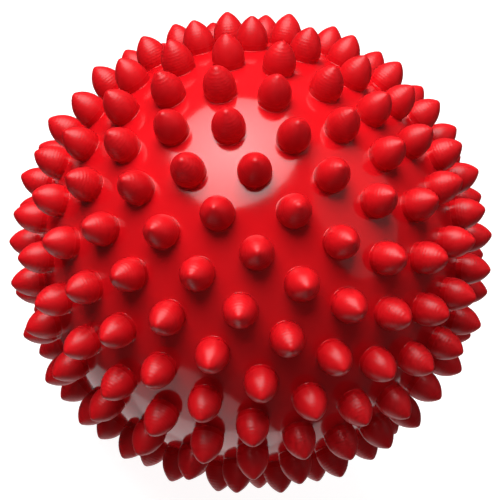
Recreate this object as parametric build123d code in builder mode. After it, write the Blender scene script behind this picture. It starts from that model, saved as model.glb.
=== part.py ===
"""A hollow spiky massage ball of soft PVC, standing on its valve end.

The ball is a rotationally moulded shell: a sphere that carries rings of bullet-shaped spikes.
The spikes sit on parallels of latitude about the mould axis, which is Z, with one on the north pole.
The south pole has the inflation valve in place of a spike: a seat bonded into the wall, with a
plug that pulls out straight down. The origin is the centre of the ball, and +Z is the north pole.
"""

import os
from math import acos, atan2, cos, degrees, hypot, pi, radians, sin, sqrt

from build123d import *

# Driving dimensions, in millimetres.
BODY_RADIUS = 39.25  # the smooth sphere between the spikes
WALL = 2.0  # thickness of the shell between the spikes
SPIKE_HEIGHT = 5.75  # from the sphere to the tip
SPIKE_RADIUS = 2.87  # at the spike's widest
SPIKE_BELLY = 1.2  # from the sphere to where the spike is widest
SPIKE_TIP_RADIUS = 0.9  # rounding of the tip
SPIKE_FLARE = 0.2  # radius of the flare where a spike runs into the sphere
SPIKE_ROOT = 1.0  # depth of a spike's root in the wall

SEAT_RIM = 1.2  # seat material round the pocket of the plug's head
SEAT_FLANGE_WIDTH = 3.2  # how far the flange reaches past the hole, inside the ball
SEAT_FLANGE_THICKNESS = 1.5
SEAT_NECK_LENGTH = 10.0  # from the outside of the ball to the inner end of the neck
SEAT_NECK_WALL = 1.6
VALVE_BORE_RADIUS = 2.5  # the bore takes a pump nozzle when the plug is out
BOND_LINE = 0.05  # thickness of the cement between the seat and the shell

PLUG_HEAD_RADIUS = 3.6
PLUG_HEAD_THICKNESS = 1.4
PLUG_HEAD_RECESS = 0.2  # the head lies this far under the crown of the sphere
PLUG_NOSE_LENGTH = 1.8  # the taper that stands out of the neck, inside the ball
PLUG_NOSE_RADIUS = 1.5
PLUG_RIB_COUNT = 4
PLUG_RIB_WIDTH = 0.9
PLUG_RIB_DEPTH = 0.3  # how far the ribs stand out of the plug's core
PLUG_CLEARANCE = 0.05  # radial, between the ribs and the bore
HEAD_CLEARANCE = 0.1  # radial, between the head and its pocket
NOTCH_RADIUS = 1.1  # fingernail notch in the seat, beside the head

# The rings of spikes. Their parallels divide the meridian from pole to pole into equal steps,
# apart from the last ring, which leaves room round the valve to take hold of the plug.
RING_STEPS = 14
VALVE_RING_STEPS = 1.2  # from the valve to the last ring
# From the north pole down: spikes in the ring, and the longitude of its first spike in degrees.
RINGS = (
    (1, 0.0),
    (6, 15.5),
    (12, 6.0),
    (17, 18.0),
    (22, 9.5),
    (25, 4.0),
    (26, 2.0),
    (27, 5.0),
    (27, 13.0),
    (25, 8.0),
    (22, 3.0),
    (17, 18.5),
    (12, 5.0),
    (6, 20.0),
)

# Sizes that follow from the driving dimensions.
INNER_RADIUS = BODY_RADIUS - WALL
POCKET_RADIUS = PLUG_HEAD_RADIUS + HEAD_CLEARANCE
SEAT_RADIUS = POCKET_RADIUS + SEAT_RIM
FLANGE_RADIUS = SEAT_RADIUS + SEAT_FLANGE_WIDTH
NECK_RADIUS = VALVE_BORE_RADIUS + SEAT_NECK_WALL
RIB_RADIUS = VALVE_BORE_RADIUS - PLUG_CLEARANCE
HEAD_FACE_Z = -(BODY_RADIUS - PLUG_HEAD_RECESS)
POCKET_FLOOR_Z = HEAD_FACE_Z + PLUG_HEAD_THICKNESS
NECK_END_Z = -(BODY_RADIUS - SEAT_NECK_LENGTH)

# The flare's centre stands this share of its radius over the sphere, so the two cross at a slight
# angle and aren't tangent.
FLARE_STAND = 0.9


def on_sphere(radius, r):
    """Height over the equator of a point on a sphere, at the distance r from Z."""
    return sqrt(radius**2 - r**2)


def ring_planes():
    """One plane for each spike, at the ball's centre, with its normal through the spike's tip."""
    planes = []
    steps = [*range(len(RINGS) - 1), RING_STEPS - VALVE_RING_STEPS]
    for step, (count, first) in zip(steps, RINGS):
        polar = step * pi / RING_STEPS
        for spike in range(count):
            longitude = radians(first + spike * 360 / count)
            outward = (sin(polar) * cos(longitude), sin(polar) * sin(longitude), cos(polar))
            planes.append(Plane(origin=(0, 0, 0), z_dir=outward))
    return planes


# One spike, standing on +Z. The outline is a flare, a flank that bellies out a little over its foot,
# and a round tip, each tangent to the next, turned about Z. The root is sunk in the wall.
tip_z = BODY_RADIUS + SPIKE_HEIGHT - SPIKE_TIP_RADIUS
belly_z = BODY_RADIUS + SPIKE_BELLY
rise = tip_z - belly_z
flank_radius = (SPIKE_RADIUS**2 + rise**2 - SPIKE_TIP_RADIUS**2) / (
    2 * (SPIKE_RADIUS - SPIKE_TIP_RADIUS)
)
flank_r = SPIKE_RADIUS - flank_radius
flank_turn = degrees(atan2(rise, -flank_r))

# The flare's centre is found from its distance to the flank's centre, which is the sum of their
# radii, and to the ball's centre.
reach = flank_radius + SPIKE_FLARE
stand = BODY_RADIUS + FLARE_STAND * SPIKE_FLARE
flank_out = hypot(flank_r, belly_z)
drop = acos((stand**2 - flank_out**2 - reach**2) / (2 * reach * flank_out)) - atan2(belly_z, flank_r)
flare_r = flank_r + reach * cos(drop)
flare_z = belly_z - reach * sin(drop)
flank_drop = degrees(drop)
root_z = BODY_RADIUS - SPIKE_ROOT

with BuildPart() as spike:
    with BuildSketch(Plane.XZ):
        with BuildLine():
            Line((0, BODY_RADIUS + SPIKE_HEIGHT), (0, root_z))
            Line((0, root_z), (flare_r, root_z))
            Line((flare_r, root_z), (flare_r, flare_z - SPIKE_FLARE))
            CenterArc((flare_r, flare_z), SPIKE_FLARE, 180 - flank_drop, 90 + flank_drop)
            CenterArc((flank_r, belly_z), flank_radius, -flank_drop, flank_drop + flank_turn)
            CenterArc((0, tip_z), SPIKE_TIP_RADIUS, flank_turn, 90 - flank_turn)
        make_face()
    revolve(axis=Axis.Z)

# The shell: sphere and spikes in one moulding, hollow, with a round hole for the seat.
with BuildPart() as ball_shell:
    Sphere(BODY_RADIUS)
    with Locations(*ring_planes()):
        add(spike.part)
    Sphere(INNER_RADIUS, mode=Mode.SUBTRACT)
    with Locations((0, 0, -BODY_RADIUS)):
        Cylinder(SEAT_RADIUS + BOND_LINE, 4 * WALL, mode=Mode.SUBTRACT)
ball_shell.part.label = "ball_shell"

# The seat: its outer face carries on the sphere, its flange lies against the inside of the wall,
# and its neck holds the bore. The outline is turned about Z.
flange_outer = INNER_RADIUS - BOND_LINE
flange_inner = flange_outer - SEAT_FLANGE_THICKNESS
with BuildPart() as valve_seat:
    with BuildSketch(Plane.XZ):
        with BuildLine():
            Polyline(
                (VALVE_BORE_RADIUS, NECK_END_Z),
                (VALVE_BORE_RADIUS, POCKET_FLOOR_Z),
                (POCKET_RADIUS, POCKET_FLOOR_Z),
                (POCKET_RADIUS, -on_sphere(BODY_RADIUS, POCKET_RADIUS)),
            )
            RadiusArc(
                (POCKET_RADIUS, -on_sphere(BODY_RADIUS, POCKET_RADIUS)),
                (SEAT_RADIUS, -on_sphere(BODY_RADIUS, SEAT_RADIUS)),
                -BODY_RADIUS,
            )
            Line(
                (SEAT_RADIUS, -on_sphere(BODY_RADIUS, SEAT_RADIUS)),
                (SEAT_RADIUS, -on_sphere(flange_outer, SEAT_RADIUS)),
            )
            RadiusArc(
                (SEAT_RADIUS, -on_sphere(flange_outer, SEAT_RADIUS)),
                (FLANGE_RADIUS, -on_sphere(flange_outer, FLANGE_RADIUS)),
                -flange_outer,
            )
            Line(
                (FLANGE_RADIUS, -on_sphere(flange_outer, FLANGE_RADIUS)),
                (FLANGE_RADIUS, -on_sphere(flange_inner, FLANGE_RADIUS)),
            )
            RadiusArc(
                (FLANGE_RADIUS, -on_sphere(flange_inner, FLANGE_RADIUS)),
                (NECK_RADIUS, -on_sphere(flange_inner, NECK_RADIUS)),
                flange_inner,
            )
            Polyline(
                (NECK_RADIUS, -on_sphere(flange_inner, NECK_RADIUS)),
                (NECK_RADIUS, NECK_END_Z),
                (VALVE_BORE_RADIUS, NECK_END_Z),
            )
        make_face()
    revolve(axis=Axis.Z)
    with Locations((POCKET_RADIUS, 0, HEAD_FACE_Z)):
        Sphere(NOTCH_RADIUS, mode=Mode.SUBTRACT)
valve_seat.part.label = "valve_seat"

# The plug: a flat head in the seat's pocket, a core with sealing ribs in the bore, and a tapered
# nose that stands out of the neck inside the ball.
core_radius = RIB_RADIUS - PLUG_RIB_DEPTH
core_length = NECK_END_Z - POCKET_FLOOR_Z
rib_spacing = core_length / PLUG_RIB_COUNT
with BuildPart() as valve_plug:
    with BuildSketch(Plane.XY.offset(HEAD_FACE_Z)):
        Circle(PLUG_HEAD_RADIUS)
    extrude(amount=PLUG_HEAD_THICKNESS)
    fillet(valve_plug.edges().group_by(Axis.Z)[0], PLUG_HEAD_THICKNESS / 3)
    with BuildSketch(Plane.XY.offset(POCKET_FLOOR_Z)):
        Circle(core_radius)
    extrude(amount=core_length)
    with BuildSketch(Plane.XY.offset(NECK_END_Z)):
        Circle(core_radius)
    with BuildSketch(Plane.XY.offset(NECK_END_Z + PLUG_NOSE_LENGTH)):
        Circle(PLUG_NOSE_RADIUS)
    loft()
    for rib in range(PLUG_RIB_COUNT):
        with Locations((0, 0, POCKET_FLOOR_Z + (rib + 0.5) * rib_spacing)):
            Cylinder(RIB_RADIUS, PLUG_RIB_WIDTH)
valve_plug.part.label = "valve_plug"

os.makedirs("parts", exist_ok=True)
for piece in (ball_shell, valve_seat, valve_plug):
    export_step(piece.part, f"parts/{piece.part.label}.step")
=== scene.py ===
"""A glossy red spiky massage ball of soft PVC on a white studio floor.

The shell is one closed skin: a sphere whose spikes grow out of it, hollow, with the valve's hole.
The seat and the plug of the valve are turned from their outlines. Shapes are worked out in
millimetres and become metres as the vertices are made. Materials, lamps and camera are in metres.
"""

import math
import random

import bpy
import numpy as np
from mathutils import Matrix, Vector
from mathutils.geometry import delaunay_2d_cdt


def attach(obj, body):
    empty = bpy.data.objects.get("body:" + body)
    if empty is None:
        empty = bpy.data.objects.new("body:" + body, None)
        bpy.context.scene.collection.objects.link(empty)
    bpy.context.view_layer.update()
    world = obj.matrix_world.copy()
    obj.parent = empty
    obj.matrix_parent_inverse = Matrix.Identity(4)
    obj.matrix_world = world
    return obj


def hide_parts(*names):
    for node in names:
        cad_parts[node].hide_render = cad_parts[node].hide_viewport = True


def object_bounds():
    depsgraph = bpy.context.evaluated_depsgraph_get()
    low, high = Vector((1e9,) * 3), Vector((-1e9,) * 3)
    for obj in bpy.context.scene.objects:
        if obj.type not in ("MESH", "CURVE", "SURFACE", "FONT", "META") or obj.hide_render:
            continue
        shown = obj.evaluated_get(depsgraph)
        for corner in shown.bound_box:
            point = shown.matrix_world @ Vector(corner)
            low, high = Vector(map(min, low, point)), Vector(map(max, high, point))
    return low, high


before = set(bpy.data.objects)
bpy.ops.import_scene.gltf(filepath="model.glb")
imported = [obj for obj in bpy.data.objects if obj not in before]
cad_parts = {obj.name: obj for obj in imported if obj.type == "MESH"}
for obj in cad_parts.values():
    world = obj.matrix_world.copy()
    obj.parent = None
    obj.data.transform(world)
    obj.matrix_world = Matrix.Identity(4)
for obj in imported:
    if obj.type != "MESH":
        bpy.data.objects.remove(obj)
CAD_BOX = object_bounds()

random.seed(7)
MM = 0.001
ON_AXIS = 1e-6  # points nearer the axis than this many millimetres are on it
NEARLY_POLAR = 0.9  # a unit vector that reaches this far along Z

# Sizes of the ball, in millimetres, as in the CAD, apart from the flare.
BODY_RADIUS = 39.25  # the smooth sphere between the spikes
WALL = 2.0
SPIKE_HEIGHT = 5.75  # from the sphere to the tip
SPIKE_RADIUS = 2.87  # at the spike's widest
SPIKE_BELLY = 1.2  # from the sphere to where the spike is widest
SPIKE_TIP_RADIUS = 0.9
SPIKE_FLARE = 0.08  # smaller than in the CAD, as the corner looks sharp in the photograph
INNER_RADIUS = BODY_RADIUS - WALL
BOND_LINE = 0.05  # cement between the seat and the shell

# Sizes of the valve, in millimetres, as in the CAD.
PLUG_HEAD_RADIUS = 3.6
PLUG_HEAD_THICKNESS = 1.4
PLUG_HEAD_RECESS = 0.2  # the head lies this far under the crown of the sphere
PLUG_NOSE_LENGTH = 1.8
PLUG_NOSE_RADIUS = 1.5
PLUG_RIB_COUNT = 4
PLUG_RIB_WIDTH = 0.9
PLUG_RIB_DEPTH = 0.3
PLUG_CLEARANCE = 0.05  # radial, between the ribs and the bore
HEAD_CLEARANCE = 0.1  # radial, between the head and its pocket
BORE_RADIUS = 2.5
SEAT_RIM = 1.2  # seat material round the head's pocket
FLANGE_WIDTH = 3.2
FLANGE_THICKNESS = 1.5
NECK_LENGTH = 10.0  # from the outside of the ball to the neck's inner end
NECK_WALL = 1.6
NOTCH_RADIUS = 1.1  # scoop for a fingernail, beside the head

# Sizes of the valve that follow from those.
RIB_RADIUS = BORE_RADIUS - PLUG_CLEARANCE
CORE_RADIUS = RIB_RADIUS - PLUG_RIB_DEPTH
POCKET_RADIUS = PLUG_HEAD_RADIUS + HEAD_CLEARANCE
SEAT_RADIUS = POCKET_RADIUS + SEAT_RIM
FLANGE_RADIUS = SEAT_RADIUS + FLANGE_WIDTH
FLANGE_OUTER = INNER_RADIUS - BOND_LINE
FLANGE_INNER = FLANGE_OUTER - FLANGE_THICKNESS
NECK_RADIUS = BORE_RADIUS + NECK_WALL
HEAD_FACE_Z = -(BODY_RADIUS - PLUG_HEAD_RECESS)
POCKET_FLOOR_Z = HEAD_FACE_Z + PLUG_HEAD_THICKNESS
NECK_END_Z = -(BODY_RADIUS - NECK_LENGTH)
RIB_SPACING = (NECK_END_Z - POCKET_FLOOR_Z) / PLUG_RIB_COUNT

# Details of the valve's meshes, in millimetres. The CAD has the notch, but not the dimple.
DIMPLE_RADIUS = 0.95  # left by the moulding gate in the middle of the plug's head
DIMPLE_FLOOR_RADIUS = 0.6
DIMPLE_FLOOR_DEPTH = 0.28
DIMPLE_DEPTH = 0.30
SCOOP_LIP = 0.3  # the scoop starts this far inside the pocket's wall
SCOOP_SHARE = 0.85  # of the notch's radius, how deep it goes into the rim
POCKET_RING_STEP = 0.25  # between the rings of points that shape the scoop
POCKET_RINGS = 4

# Rings of spikes from the north pole down: spikes in the ring, longitude of the first in degrees.
# Their parallels are a step apart, but the last is VALVE_RING_STEPS from the valve.
RING_STEPS = 14
VALVE_RING_STEPS = 1.2
RINGS = (
    (1, 0.0),
    (6, 15.5),
    (12, 6.0),
    (17, 18.0),
    (22, 9.5),
    (25, 4.0),
    (26, 2.0),
    (27, 5.0),
    (27, 13.0),
    (25, 8.0),
    (22, 3.0),
    (17, 18.5),
    (12, 5.0),
    (6, 20.0),
)

# How finely the meshes are made.
SPIKE_SIDES = 36
FLARE_STEPS = 4
FLANK_STEPS = 10
TIP_STEPS = 5
HOLE_SIDES = 72
CAVITY_RINGS = 40
SEAT_SIDES = 128
FLANGE_STEPS = 5
PLUG_SIDES = 96
FLOOR_SIDES = 96
SHARP_ANGLE = math.radians(50)  # edges that turn more than this are shaded as edges
SKIRT_WIDTH = 0.35  # a second ring of points round each foot, this far out
FILLER_POINTS = 9000  # spread evenly over the sphere, then kept where there is no spike
FILLER_TO_FOOT = 2.2 * SKIRT_WIDTH
FILLER_TO_HOLE = 0.8
WELD_DISTANCE = 1e-7  # in the flat map of the sphere

# How much one spike differs from the next, as mouldings do.
LEAN_LEAST = 0.02  # sideways at the tip, in millimetres
LEAN_MOST = 0.10
LEAN_POWER = 1.5  # a spike leans more and more towards its tip
HEIGHT_SPREAD = 0.008  # as a share of its height


def on_sphere(radius, r):
    """Height over the equator of a point on a sphere, at the distance r from the axis."""
    return math.sqrt(radius**2 - r**2)


def spike_outline():
    """(distance from the spike's axis, distance along it from the ball's centre), foot to tip.

    A flare, a flank that bellies out over the foot, and a round tip, each tangent to the next.
    """
    tip_z = BODY_RADIUS + SPIKE_HEIGHT - SPIKE_TIP_RADIUS
    belly_z = BODY_RADIUS + SPIKE_BELLY
    rise = tip_z - belly_z
    flank = (SPIKE_RADIUS**2 + rise**2 - SPIKE_TIP_RADIUS**2) / (
        2 * (SPIKE_RADIUS - SPIKE_TIP_RADIUS)
    )
    flank_r = SPIKE_RADIUS - flank
    turn = math.atan2(rise, -flank_r)

    # the flare's centre, from its distances to the flank's centre and to the ball's
    reach = flank + SPIKE_FLARE
    stand = BODY_RADIUS + SPIKE_FLARE
    out = math.hypot(flank_r, belly_z)
    cosine = (stand**2 - out**2 - reach**2) / (2 * reach * out)
    drop = math.acos(cosine) - math.atan2(belly_z, flank_r)
    flare_r = flank_r + reach * math.cos(drop)
    flare_z = belly_z - reach * math.sin(drop)

    foot = math.atan2(-flare_z, -flare_r) + 2 * math.pi
    points = []
    for k in range(FLARE_STEPS + 1):
        a = foot + (math.pi - drop - foot) * k / FLARE_STEPS
        points.append((flare_r + SPIKE_FLARE * math.cos(a), flare_z + SPIKE_FLARE * math.sin(a)))
    for k in range(1, FLANK_STEPS + 1):
        a = -drop + (turn + drop) * k / FLANK_STEPS
        points.append((flank_r + flank * math.cos(a), belly_z + flank * math.sin(a)))
    for k in range(1, TIP_STEPS + 1):
        a = turn + (math.pi / 2 - turn) * k / TIP_STEPS
        points.append((SPIKE_TIP_RADIUS * math.cos(a), tip_z + SPIKE_TIP_RADIUS * math.sin(a)))
    return points


def spike_axes():
    """Unit vectors from the ball's centre through the tips of the spikes."""
    axes = []
    steps = [*range(len(RINGS) - 1), RING_STEPS - VALVE_RING_STEPS]
    for step, (count, first) in zip(steps, RINGS):
        polar = step * math.pi / RING_STEPS
        for k in range(count):
            a = math.radians(first + k * 360 / count)
            axes.append(
                (math.sin(polar) * math.cos(a), math.sin(polar) * math.sin(a), math.cos(polar))
            )
    return np.array(axes)


def frame_about(axis):
    """Two unit vectors square to the axis and to each other."""
    elsewhere = (0.0, 0.0, 1.0) if abs(axis[2]) < NEARLY_POLAR else (1.0, 0.0, 0.0)
    side = np.cross(axis, elsewhere)
    side /= np.linalg.norm(side)
    return side, np.cross(axis, side)


def ring_points(radius, z, sides):
    """Points on a circle round Z, from the X axis on."""
    turns = [2 * math.pi * k / sides for k in range(sides)]
    return [(radius * math.cos(a), radius * math.sin(a), z) for a in turns]


def ring_edges(start, sides):
    """Edges round a ring of points that starts at the index start."""
    return [(start + k, start + (k + 1) % sides) for k in range(sides)]


def band(a, b, sides):
    """Quads between two rings of points that start at the indices a and b."""
    return [(a + k, a + (k + 1) % sides, b + (k + 1) % sides, b + k) for k in range(sides)]


def fan(ring, point, sides):
    """Triangles from a ring of points that starts at the index ring to one point over it."""
    return [(ring + k, ring + (k + 1) % sides, point) for k in range(sides)]


def sphere_points(count):
    """Points spread evenly over a unit sphere, on a spiral."""
    k = np.arange(count) + 0.5
    z = 1 - 2 * k / count
    a = math.pi * (1 + math.sqrt(5)) * k
    r = np.sqrt(1 - z * z)
    return np.stack([r * np.cos(a), r * np.sin(a), z], axis=1)


def sphere_faces(points, foot_of, edges):
    """Triangles over the sphere, between the feet of the spikes and round the hole.

    The sphere is laid flat from its south pole, which is in the hole, and triangulated there.
    foot_of gives the spike of each point on a foot, and -1 for the rest.
    """
    flat = [Vector((p[0] / (BODY_RADIUS + p[2]), p[1] / (BODY_RADIUS + p[2]))) for p in points]
    found = delaunay_2d_cdt(flat, edges, [], 0, WELD_DISTANCE)
    origin = [ids[0] if ids else -1 for ids in found[3]]
    faces = []
    for triangle in found[2]:
        corners = [origin[k] for k in triangle]
        if -1 in corners or len(set(corners)) < 3:
            continue
        feet = {foot_of[k] for k in corners}
        if len(feet) == 1 and -1 not in feet:
            continue  # it lies under a spike
        faces.append(tuple(corners))
    return faces


def mesh_object(name, points, faces):
    mesh = bpy.data.meshes.new(name)
    mesh.from_pydata([(MM * x, MM * y, MM * z) for x, y, z in points], [], faces)
    mesh.validate()
    mesh.shade_smooth()
    mesh.set_sharp_from_angle(angle=SHARP_ANGLE)
    obj = bpy.data.objects.new(name, mesh)
    bpy.context.scene.collection.objects.link(obj)
    return obj


def build_shell():
    outline = spike_outline()
    axes = spike_axes()
    frames = [frame_about(axis) for axis in axes]
    foot_r = outline[0][0]
    points, foot_of, feet, edges = [], [], [], []

    # the feet, on the sphere, and a skirt round each
    for i, (axis, (u, v)) in enumerate(zip(axes, frames)):
        feet.append(len(points))
        edges += ring_edges(feet[i], SPIKE_SIDES)
        for spike, r in ((i, foot_r), (-1, foot_r + SKIRT_WIDTH)):
            z = on_sphere(BODY_RADIUS, r)
            for x, y, _ in ring_points(r, 0, SPIKE_SIDES):
                points.append(x * u + y * v + z * axis)
                foot_of.append(spike)

    # the hole, and points that fill the sphere between hole and skirts
    hole = len(points)
    hole_r = SEAT_RADIUS + BOND_LINE
    edges += ring_edges(hole, HOLE_SIDES)
    points += ring_points(hole_r, -on_sphere(BODY_RADIUS, hole_r), HOLE_SIDES)
    clear_of_feet = math.cos((foot_r + FILLER_TO_FOOT) / BODY_RADIUS)
    clear_of_hole = -math.cos((hole_r + FILLER_TO_HOLE) / BODY_RADIUS)
    for p in sphere_points(FILLER_POINTS):
        if (axes @ p).max() < clear_of_feet and p[2] > clear_of_hole:
            points.append(BODY_RADIUS * p)
    foot_of += [-1] * (len(points) - len(foot_of))
    faces = sphere_faces(points, foot_of, edges)

    # the spikes
    flare_top = outline[FLARE_STEPS][1]
    for (u, v), axis, below in zip(frames, axes, feet):
        lean_way = random.uniform(0, 2 * math.pi)
        lean = random.uniform(LEAN_LEAST, LEAN_MOST)
        growth = random.uniform(-HEIGHT_SPREAD, HEIGHT_SPREAD)
        sideways = lean * (math.cos(lean_way) * u + math.sin(lean_way) * v)
        for r, z in outline[1:]:
            h = max(0.0, z - flare_top) / SPIKE_HEIGHT
            centre = (z + growth * h * SPIKE_HEIGHT) * axis + h**LEAN_POWER * sideways
            here = len(points)
            if r < ON_AXIS:
                points.append(centre)
                faces += fan(below, here, SPIKE_SIDES)
            else:
                points += [centre + x * u + y * v for x, y, _ in ring_points(r, 0, SPIKE_SIDES)]
                faces += band(below, here, SPIKE_SIDES)
                below = here

    # the wall of the hole and the inside of the ball
    above = hole
    start = math.pi - math.asin(hole_r / INNER_RADIUS)
    for k in range(CAVITY_RINGS):
        polar = start * (1 - k / CAVITY_RINGS)
        here = len(points)
        r, z = INNER_RADIUS * math.sin(polar), INNER_RADIUS * math.cos(polar)
        points += ring_points(r, z, HOLE_SIDES)
        faces += band(here, above, HOLE_SIDES)
        above = here
    faces += [(b, a, top) for a, b, top in fan(above, len(points), HOLE_SIDES)]
    points.append((0.0, 0.0, INNER_RADIUS))
    return mesh_object("shell_moulding", points, faces)


CORNER_SHARE = 0.45  # of an edge, the most that the rounding of a corner may take
CORNER_STEPS = (0.0, 0.25, 0.5, 0.75, 1.0)


def rounded(corners, closed):
    """An outline with its corners rounded off. Each corner is (r, z, rounding)."""
    out = []
    n = len(corners)
    for i, (r, z, size) in enumerate(corners):
        if size == 0 or (not closed and i in (0, n - 1)):
            out.append((r, z))
            continue
        here = Vector((r, z))
        before = Vector(corners[i - 1][:2]) - here
        after = Vector(corners[(i + 1) % n][:2]) - here
        a = here + before.normalized() * min(size, CORNER_SHARE * before.length)
        b = here + after.normalized() * min(size, CORNER_SHARE * after.length)
        for t in CORNER_STEPS:
            p = (1 - t) ** 2 * a + 2 * t * (1 - t) * here + t * t * b
            out.append((p.x, p.y))
    return out


def lathe(name, outline, sides, closed, reshape=None):
    """Turn an outline about Z. An open outline starts and ends on the axis."""
    points, faces, starts = [], [], []
    for r, z in outline:
        starts.append(len(points))
        points += [(0.0, 0.0, z)] if r < ON_AXIS else ring_points(r, z, sides)
    pairs = list(zip(range(len(outline)), range(1, len(outline))))
    if closed:
        pairs.append((len(outline) - 1, 0))
    for i, j in pairs:
        a, b = starts[i], starts[j]
        if outline[i][0] < ON_AXIS:
            faces += [(a, b + (k + 1) % sides, b + k) for k in range(sides)]
        elif outline[j][0] < ON_AXIS:
            faces += fan(a, b, sides)
        else:
            faces += band(a, b, sides)
    if reshape:
        points = [reshape(*p) for p in points]
    return mesh_object(name, points, faces)


def node_maker(material):
    """A short way to add a node and to join sockets by name or number."""
    tree = material.node_tree
    tree.nodes.clear()

    def make(kind, inputs=None, **settings):
        node = tree.nodes.new(kind)
        for key, value in settings.items():
            setattr(node, key, value)
        for key, value in (inputs or {}).items():
            socket = node.inputs[key]
            if isinstance(value, bpy.types.NodeSocket):
                tree.links.new(value, socket)
            else:
                socket.default_value = value
        return node

    return make


def new_material(name):
    """A material with no nodes, and the way to add some."""
    material = bpy.data.materials.new(name)
    material.use_nodes = True
    return material, node_maker(material)


def shade(make, inputs):
    """The shader that ends a material."""
    shader = make("ShaderNodeBsdfPrincipled", inputs)
    make("ShaderNodeOutputMaterial", {"Surface": shader.outputs["BSDF"]})


def ramp(make, fac, stops):
    node = make("ShaderNodeValToRGB", {"Fac": fac})
    for element, (position, colour) in zip(node.color_ramp.elements, stops):
        element.position = position
        element.color = (*colour, 1.0)
    return node.outputs["Color"]


def noise(make, where, size, detail, roughness=0.5):
    """Noise whose lumps are about size across, in metres."""
    node = make(
        "ShaderNodeTexNoise",
        {"Vector": where, "Scale": 1 / size, "Detail": detail, "Roughness": roughness},
    )
    return node.outputs["Fac"]


def calc(make, operation, *values):
    return make("ShaderNodeMath", dict(enumerate(values)), operation=operation).outputs[0]


def between(make, value, low, high, to_low=0.0, to_high=1.0):
    """The value, eased from the range low to high into the range to_low to to_high."""
    node = make(
        "ShaderNodeMapRange",
        {"Value": value, "From Min": low, "From Max": high, "To Min": to_low, "To Max": to_high},
        interpolation_type="SMOOTHSTEP",
    )
    return node.outputs["Result"]


def bumped(make, height, distance, normal=None):
    """Relief from a height, distance high in metres, on top of the relief in normal."""
    inputs = {"Strength": 1.0, "Distance": distance, "Height": height}
    if normal is not None:
        inputs["Normal"] = normal
    return make("ShaderNodeBump", inputs).outputs["Normal"]


# Both PVCs and the plug's plastic have a faint cloud in their colour, between two shades.
CLOUD_LOW, CLOUD_HIGH = 0.30, 0.70  # noise at which the deep and the bright shade are reached
UNEVEN_LOW, UNEVEN_HIGH = 0.3, 0.7  # noise at which the gloss is at its ends

# The shell's PVC. Sizes of lumps and heights of relief are in metres.
PVC_DEEP = (0.48, 0.0030, 0.0060)
PVC_BRIGHT = (0.58, 0.0050, 0.0090)
PVC_CLOUD = 0.012
PVC_IOR = 1.54
TURNING_PITCH = 0.5  # millimetres along a spike from one turning mark to the next
TURNING_WANDER = 2.2  # radians that the marks stray
WANDER_SIZE = 0.004
MARKS_PATCH = 0.0065  # the marks are fainter in patches of this size
PATCH_LOW, PATCH_HIGH = 0.35, 0.65  # noise at which they are faintest and strongest
MARKS_FAINTEST = 0.25
MARKS_RELIEF = 0.00001
RIPPLE_SIZE = 0.0022
RIPPLE_RELIEF = 0.000008
GRAIN_SIZE = 0.00028
GRAIN_RELIEF = 0.0000012
SPIKE_STARTS, SPIKE_FULL = 0.5, 1.3  # heights, in millimetres, over which the spikes' look sets in
GLOSS_PATCH = 0.005
GLOSSIEST, DULLEST = 0.08, 0.13  # roughness of the sphere between the spikes
SPECULAR = 0.5  # specular level of the sphere
SPIKE_ROUGHER = 0.24  # what the spikes add to the roughness
SPIKE_DIMMER = -0.24  # and to the specular level


def shell_material():
    """Glossy soft PVC: deep red, the mould's turning marks on the spikes, fine surface ripple."""
    material, make = new_material("red_soft_pvc")
    where = make("ShaderNodeTexCoord").outputs["Object"]
    out = make("ShaderNodeVectorMath", {0: where}, operation="LENGTH").outputs["Value"]

    # height up a spike, in millimetres, because every spike points away from the ball's centre
    height = calc(make, "MULTIPLY_ADD", out, 1 / MM, -BODY_RADIUS)
    on_spike = between(make, height, SPIKE_STARTS, SPIKE_FULL)

    # turning marks: rings of the cutter that made the mould's spike cavities
    wander = noise(make, where, WANDER_SIZE, detail=2.0)
    phase = calc(make, "MULTIPLY", wander, TURNING_WANDER)
    turns = calc(make, "MULTIPLY_ADD", height, 2 * math.pi / TURNING_PITCH, phase)
    marks = calc(make, "MULTIPLY", calc(make, "SINE", turns), on_spike)
    patches = noise(make, where, MARKS_PATCH, detail=1.0)
    strength = between(make, patches, PATCH_LOW, PATCH_HIGH, MARKS_FAINTEST, 1.0)
    marks = calc(make, "MULTIPLY", marks, strength)

    bump = bumped(make, marks, MARKS_RELIEF)
    ripple = noise(make, where, RIPPLE_SIZE, detail=2.0)
    bump = bumped(make, ripple, RIPPLE_RELIEF, bump)
    grain = noise(make, where, GRAIN_SIZE, detail=2.0)
    bump = bumped(make, grain, GRAIN_RELIEF, bump)

    cloud = noise(make, where, PVC_CLOUD, detail=3.0)
    dull_patches = noise(make, where, GLOSS_PATCH, detail=4.0, roughness=0.6)
    uneven = between(make, dull_patches, UNEVEN_LOW, UNEVEN_HIGH, GLOSSIEST, DULLEST)
    shade(
        make,
        {
            "Base Color": ramp(make, cloud, ((CLOUD_LOW, PVC_DEEP), (CLOUD_HIGH, PVC_BRIGHT))),
            "Roughness": calc(make, "MULTIPLY_ADD", on_spike, SPIKE_ROUGHER, uneven),
            "Normal": bump,
            "IOR": PVC_IOR,
            "Specular IOR Level": calc(make, "MULTIPLY_ADD", on_spike, SPIKE_DIMMER, SPECULAR),
        },
    )
    return material


# The valve's seat and plug: deep shade, bright shade, least and greatest roughness, and how far
# across the lumps of the cloud are, in metres.
SEAT_LOOK = ((0.36, 0.004, 0.008), (0.46, 0.006, 0.010), 0.34, 0.48, 0.006)
PLUG_LOOK = ((0.72, 0.70, 0.65), (0.80, 0.78, 0.73), 0.26, 0.38, 0.004)
VALVE_IOR = 1.5
VALVE_PATCH = 0.4  # size of the dull patches, as a share of the cloud's
VALVE_GRAIN_SIZE = 0.00022  # metres
VALVE_GRAIN_RELIEF = 0.000002  # metres


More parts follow.
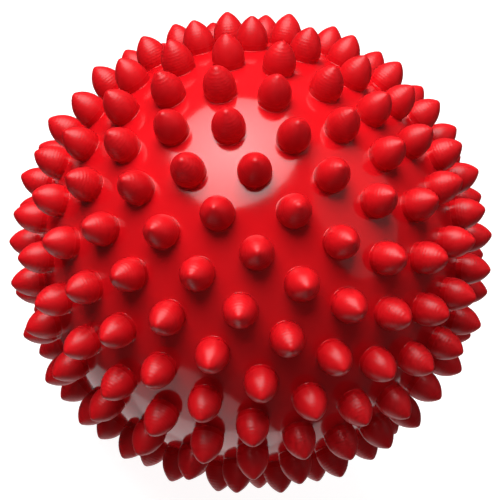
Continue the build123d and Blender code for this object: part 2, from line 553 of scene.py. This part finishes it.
def valve_material(name, deep, bright, glossiest, dullest, lump):
    """A small moulding: a faint cloud in the colour, fine grain, uneven gloss."""
    material, make = new_material(name)
    where = make("ShaderNodeTexCoord").outputs["Object"]
    cloud = noise(make, where, lump, detail=3.0)
    patches = noise(make, where, VALVE_PATCH * lump, detail=3.0)
    grain = noise(make, where, VALVE_GRAIN_SIZE, detail=2.0)
    shade(
        make,
        {
            "Base Color": ramp(make, cloud, ((CLOUD_LOW, deep), (CLOUD_HIGH, bright))),
            "Roughness": between(make, patches, UNEVEN_LOW, UNEVEN_HIGH, glossiest, dullest),
            "Normal": bumped(make, grain, VALVE_GRAIN_RELIEF),
            "IOR": VALVE_IOR,
        },
    )
    return material


# The shell.
shell = build_shell()
shell.data.materials.append(shell_material())
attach(shell, "ball")
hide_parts("ball_shell")


def scooped(x, y, z):
    """The seat's point, moved outwards where the scoop for a fingernail is."""
    r, a = math.hypot(x, y), math.atan2(y, x)
    if r > POCKET_RADIUS + NOTCH_RADIUS or r < POCKET_RADIUS - SCOOP_LIP:
        return x, y, z
    across = a * POCKET_RADIUS / NOTCH_RADIUS
    deep = (z - HEAD_FACE_Z) / NOTCH_RADIUS
    push = NOTCH_RADIUS * math.sqrt(max(0.0, 1 - across * across - max(0.0, deep) ** 2))
    fade = max(0.0, 1 - (r - POCKET_RADIUS) / (SEAT_RADIUS - POCKET_RADIUS))
    scale = (r + SCOOP_SHARE * push * fade) / r
    return x * scale, y * scale, z


def arc_of_sphere(radius, r_from, r_to, steps):
    """Points of an outline along a sphere, between two distances from the axis."""
    return [
        (r, -on_sphere(radius, r), 0)
        for r in (r_from + (r_to - r_from) * k / steps for k in range(1, steps))
    ]


# The seat's outline goes out along the bore, round the pocket for the plug's head, over the rim,
# and back along the flange and the neck.
seat_corners = [
    (BORE_RADIUS, NECK_END_Z, 0.25),
    (BORE_RADIUS, POCKET_FLOOR_Z, 0.15),
    (POCKET_RADIUS, POCKET_FLOOR_Z, 0.12),
    *[
        (POCKET_RADIUS, POCKET_FLOOR_Z - POCKET_RING_STEP * k, 0)
        for k in range(1, POCKET_RINGS + 1)
    ],
    (POCKET_RADIUS, -on_sphere(BODY_RADIUS, POCKET_RADIUS), 0.18),
    (SEAT_RADIUS, -on_sphere(BODY_RADIUS, SEAT_RADIUS), 0.12),
    (SEAT_RADIUS, -on_sphere(FLANGE_OUTER, SEAT_RADIUS), 0),
    *arc_of_sphere(FLANGE_OUTER, SEAT_RADIUS, FLANGE_RADIUS, FLANGE_STEPS),
    (FLANGE_RADIUS, -on_sphere(FLANGE_OUTER, FLANGE_RADIUS), 0.3),
    (FLANGE_RADIUS, -on_sphere(FLANGE_INNER, FLANGE_RADIUS), 0.3),
    *arc_of_sphere(FLANGE_INNER, FLANGE_RADIUS, NECK_RADIUS, FLANGE_STEPS),
    (NECK_RADIUS, -on_sphere(FLANGE_INNER, NECK_RADIUS), 0.8),
    (NECK_RADIUS, NECK_END_Z, 0.35),
]
seat = lathe("valve_seat_moulding", rounded(seat_corners, True), SEAT_SIDES, True, scooped)
seat.data.materials.append(valve_material("red_satin_pvc", *SEAT_LOOK))
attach(seat, "ball")
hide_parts("valve_seat")

# The plug, with the gate's dimple in the head and rounded sealing ribs.
plug_corners = [
    (0.0, HEAD_FACE_Z + DIMPLE_DEPTH, 0),
    (DIMPLE_FLOOR_RADIUS, HEAD_FACE_Z + DIMPLE_FLOOR_DEPTH, 0.2),
    (DIMPLE_RADIUS, HEAD_FACE_Z, 0.15),
    (PLUG_HEAD_RADIUS, HEAD_FACE_Z, 0.55),
    (PLUG_HEAD_RADIUS, POCKET_FLOOR_Z, 0.15),
    (CORE_RADIUS, POCKET_FLOOR_Z, 0.15),
]
for rib in range(PLUG_RIB_COUNT):
    middle = POCKET_FLOOR_Z + (rib + 0.5) * RIB_SPACING
    low, high = middle - PLUG_RIB_WIDTH / 2, middle + PLUG_RIB_WIDTH / 2
    plug_corners += [
        (CORE_RADIUS, low, 0.06),
        (RIB_RADIUS, low, 0.2),
        (RIB_RADIUS, high, 0.2),
        (CORE_RADIUS, high, 0.06),
    ]
plug_corners += [
    (CORE_RADIUS, NECK_END_Z, 0.5),
    (PLUG_NOSE_RADIUS, NECK_END_Z + PLUG_NOSE_LENGTH, 0.45),
    (0.0, NECK_END_Z + PLUG_NOSE_LENGTH, 0),
]
plug = lathe("valve_plug_moulding", rounded(plug_corners, False), PLUG_SIDES, False)
plug.data.materials.append(valve_material("pale_plastic", *PLUG_LOOK))
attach(plug, "plug")
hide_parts("valve_plug")

# The floor curves up far away into a backdrop that closes over the scene, so the ball stands on
# white from every side. Only the camera sees it: it lights nothing, and the ball doesn't mirror it.
FLOOR_RADIUS = 2000  # of its flat part, in millimetres
BACKDROP_RADIUS = 1500  # of the curve, in millimetres
BACKDROP_TURNS = [math.radians(d) for d in range(10, 181, 10)]
FLOOR_GREY = 0.30
FLOOR_ROUGHNESS = 0.8
FLOOR_GLOW = 0.93  # with what the lamps add, it comes out white
WHITE = (1.0, 1.0, 1.0, 1.0)

floor_z = CAD_BOX[0].z / MM
floor_outline = [(0.0, floor_z), (FLOOR_RADIUS, floor_z)]
floor_outline += [
    (
        FLOOR_RADIUS + BACKDROP_RADIUS * math.sin(a),
        floor_z + BACKDROP_RADIUS * (1 - math.cos(a)),
    )
    for a in BACKDROP_TURNS
]
floor_outline.append((0.0, floor_z + 2 * BACKDROP_RADIUS))
floor = lathe("studio_floor", floor_outline, FLOOR_SIDES, False)
floor_material, floor_maker = new_material("pale_floor")
shade(
    floor_maker,
    {
        "Base Color": (FLOOR_GREY, FLOOR_GREY, FLOOR_GREY, 1.0),
        "Roughness": FLOOR_ROUGHNESS,
        "Emission Color": WHITE,
        "Emission Strength": FLOOR_GLOW,
    },
)
floor.data.materials.append(floor_material)
floor.visible_diffuse = False
floor.visible_glossy = False
floor.visible_shadow = False

# The camera looks down at the ball, and is rolled because the ball in the photograph leans.
ELEVATION = math.radians(37.6)
ROLL = math.radians(40.8)
DISTANCE = 7.0 * BODY_RADIUS * MM
LENS = 105.05
SENSOR = 36.0
ASIDE = (-0.10 * MM, 0.48 * MM)  # keeps the ball a little low and right in the frame

towards_camera = Vector((0.0, -math.cos(ELEVATION), math.sin(ELEVATION)))
level_up = Vector((0.0, math.sin(ELEVATION), math.cos(ELEVATION)))
level_right = Vector((1.0, 0.0, 0.0))
right = math.cos(ROLL) * level_right + math.sin(ROLL) * level_up
up = math.cos(ROLL) * level_up - math.sin(ROLL) * level_right


def looking(at_right, at_up, backwards, place):
    """A matrix for a camera or an area light, from its own axes in the row frame."""
    turn = Matrix((at_right, at_up, backwards)).transposed().to_4x4()
    return Matrix.Translation(place) @ turn


camera_data = bpy.data.cameras.new("camera")
camera_data.lens = LENS
camera_data.sensor_width = SENSOR
camera = bpy.data.objects.new("camera", camera_data)
bpy.context.scene.collection.objects.link(camera)
camera.matrix_world = looking(
    right, up, towards_camera, DISTANCE * towards_camera + ASIDE[0] * right + ASIDE[1] * up
)
bpy.context.scene.camera = camera

# The lamps: name, direction from the ball along the camera's axes, distance, width, height,
# radiance, spread in degrees, and whether the ball mirrors it. The fills only soften the shadows.
# key_fill adds to the softbox without making its reflection stronger. It stands a little nearer,
# because two lamps in exactly the same place come out darker.
LAMPS = (
    ("softbox", (-0.13, 0.82, 0.57), 0.80, 0.88, 1.00, 1.80, 95, True),
    ("key_fill", (-0.13, 0.82, 0.57), 0.78, 0.86, 0.98, 1.00, 95, False),
    ("side_panel", (0.80, 0.35, 0.45), 0.80, 0.70, 1.00, 0.27, 180, True),
    ("bounce_card", (-0.32, -0.93, -0.20), 0.50, 0.65, 0.42, 0.32, 110, True),
    ("rim_card", (-0.05, -0.72, -0.69), 0.50, 0.90, 0.50, 0.75, 180, True),
    ("front_fill", (0.0, -0.30, 0.95), 0.80, 0.80, 0.80, 0.24, 180, False),
    ("top_fill", (0.0, 0.97, -0.25), 0.80, 0.90, 0.60, 1.10, 180, False),
    ("low_fill", (-0.10, -0.97, 0.05), 0.80, 0.80, 0.50, 0.60, 180, False),
    ("side_fill", (0.75, -0.55, -0.35), 0.80, 0.70, 0.70, 0.60, 180, False),
)


def add_lamp(name, direction, distance, width, height, radiance, spread, mirrored):
    """An oval panel that faces the ball. Its power is its radiance times its area times pi."""
    way = (direction[0] * right + direction[1] * up + direction[2] * towards_camera).normalized()
    across = up.cross(way).normalized()
    data = bpy.data.lights.new(name, "AREA")
    data.shape = "ELLIPSE"
    data.size = width
    data.size_y = height
    data.spread = math.radians(spread)
    data.energy = radiance * math.pi * math.pi / 4 * width * height
    lamp = bpy.data.objects.new(name, data)
    bpy.context.scene.collection.objects.link(lamp)
    lamp.matrix_world = looking(across, way.cross(across), way, distance * way)
    lamp.visible_camera = False
    lamp.visible_glossy = mirrored


for settings in LAMPS:
    add_lamp(*settings)

WORLD_STRENGTH = 0.045
world = bpy.data.worlds.new("studio")
world.use_nodes = True
background = world.node_tree.nodes["Background"]
background.inputs["Color"].default_value = WHITE
background.inputs["Strength"].default_value = WORLD_STRENGTH
bpy.context.scene.world = world
bpy.context.scene.view_settings.view_transform = "Standard"
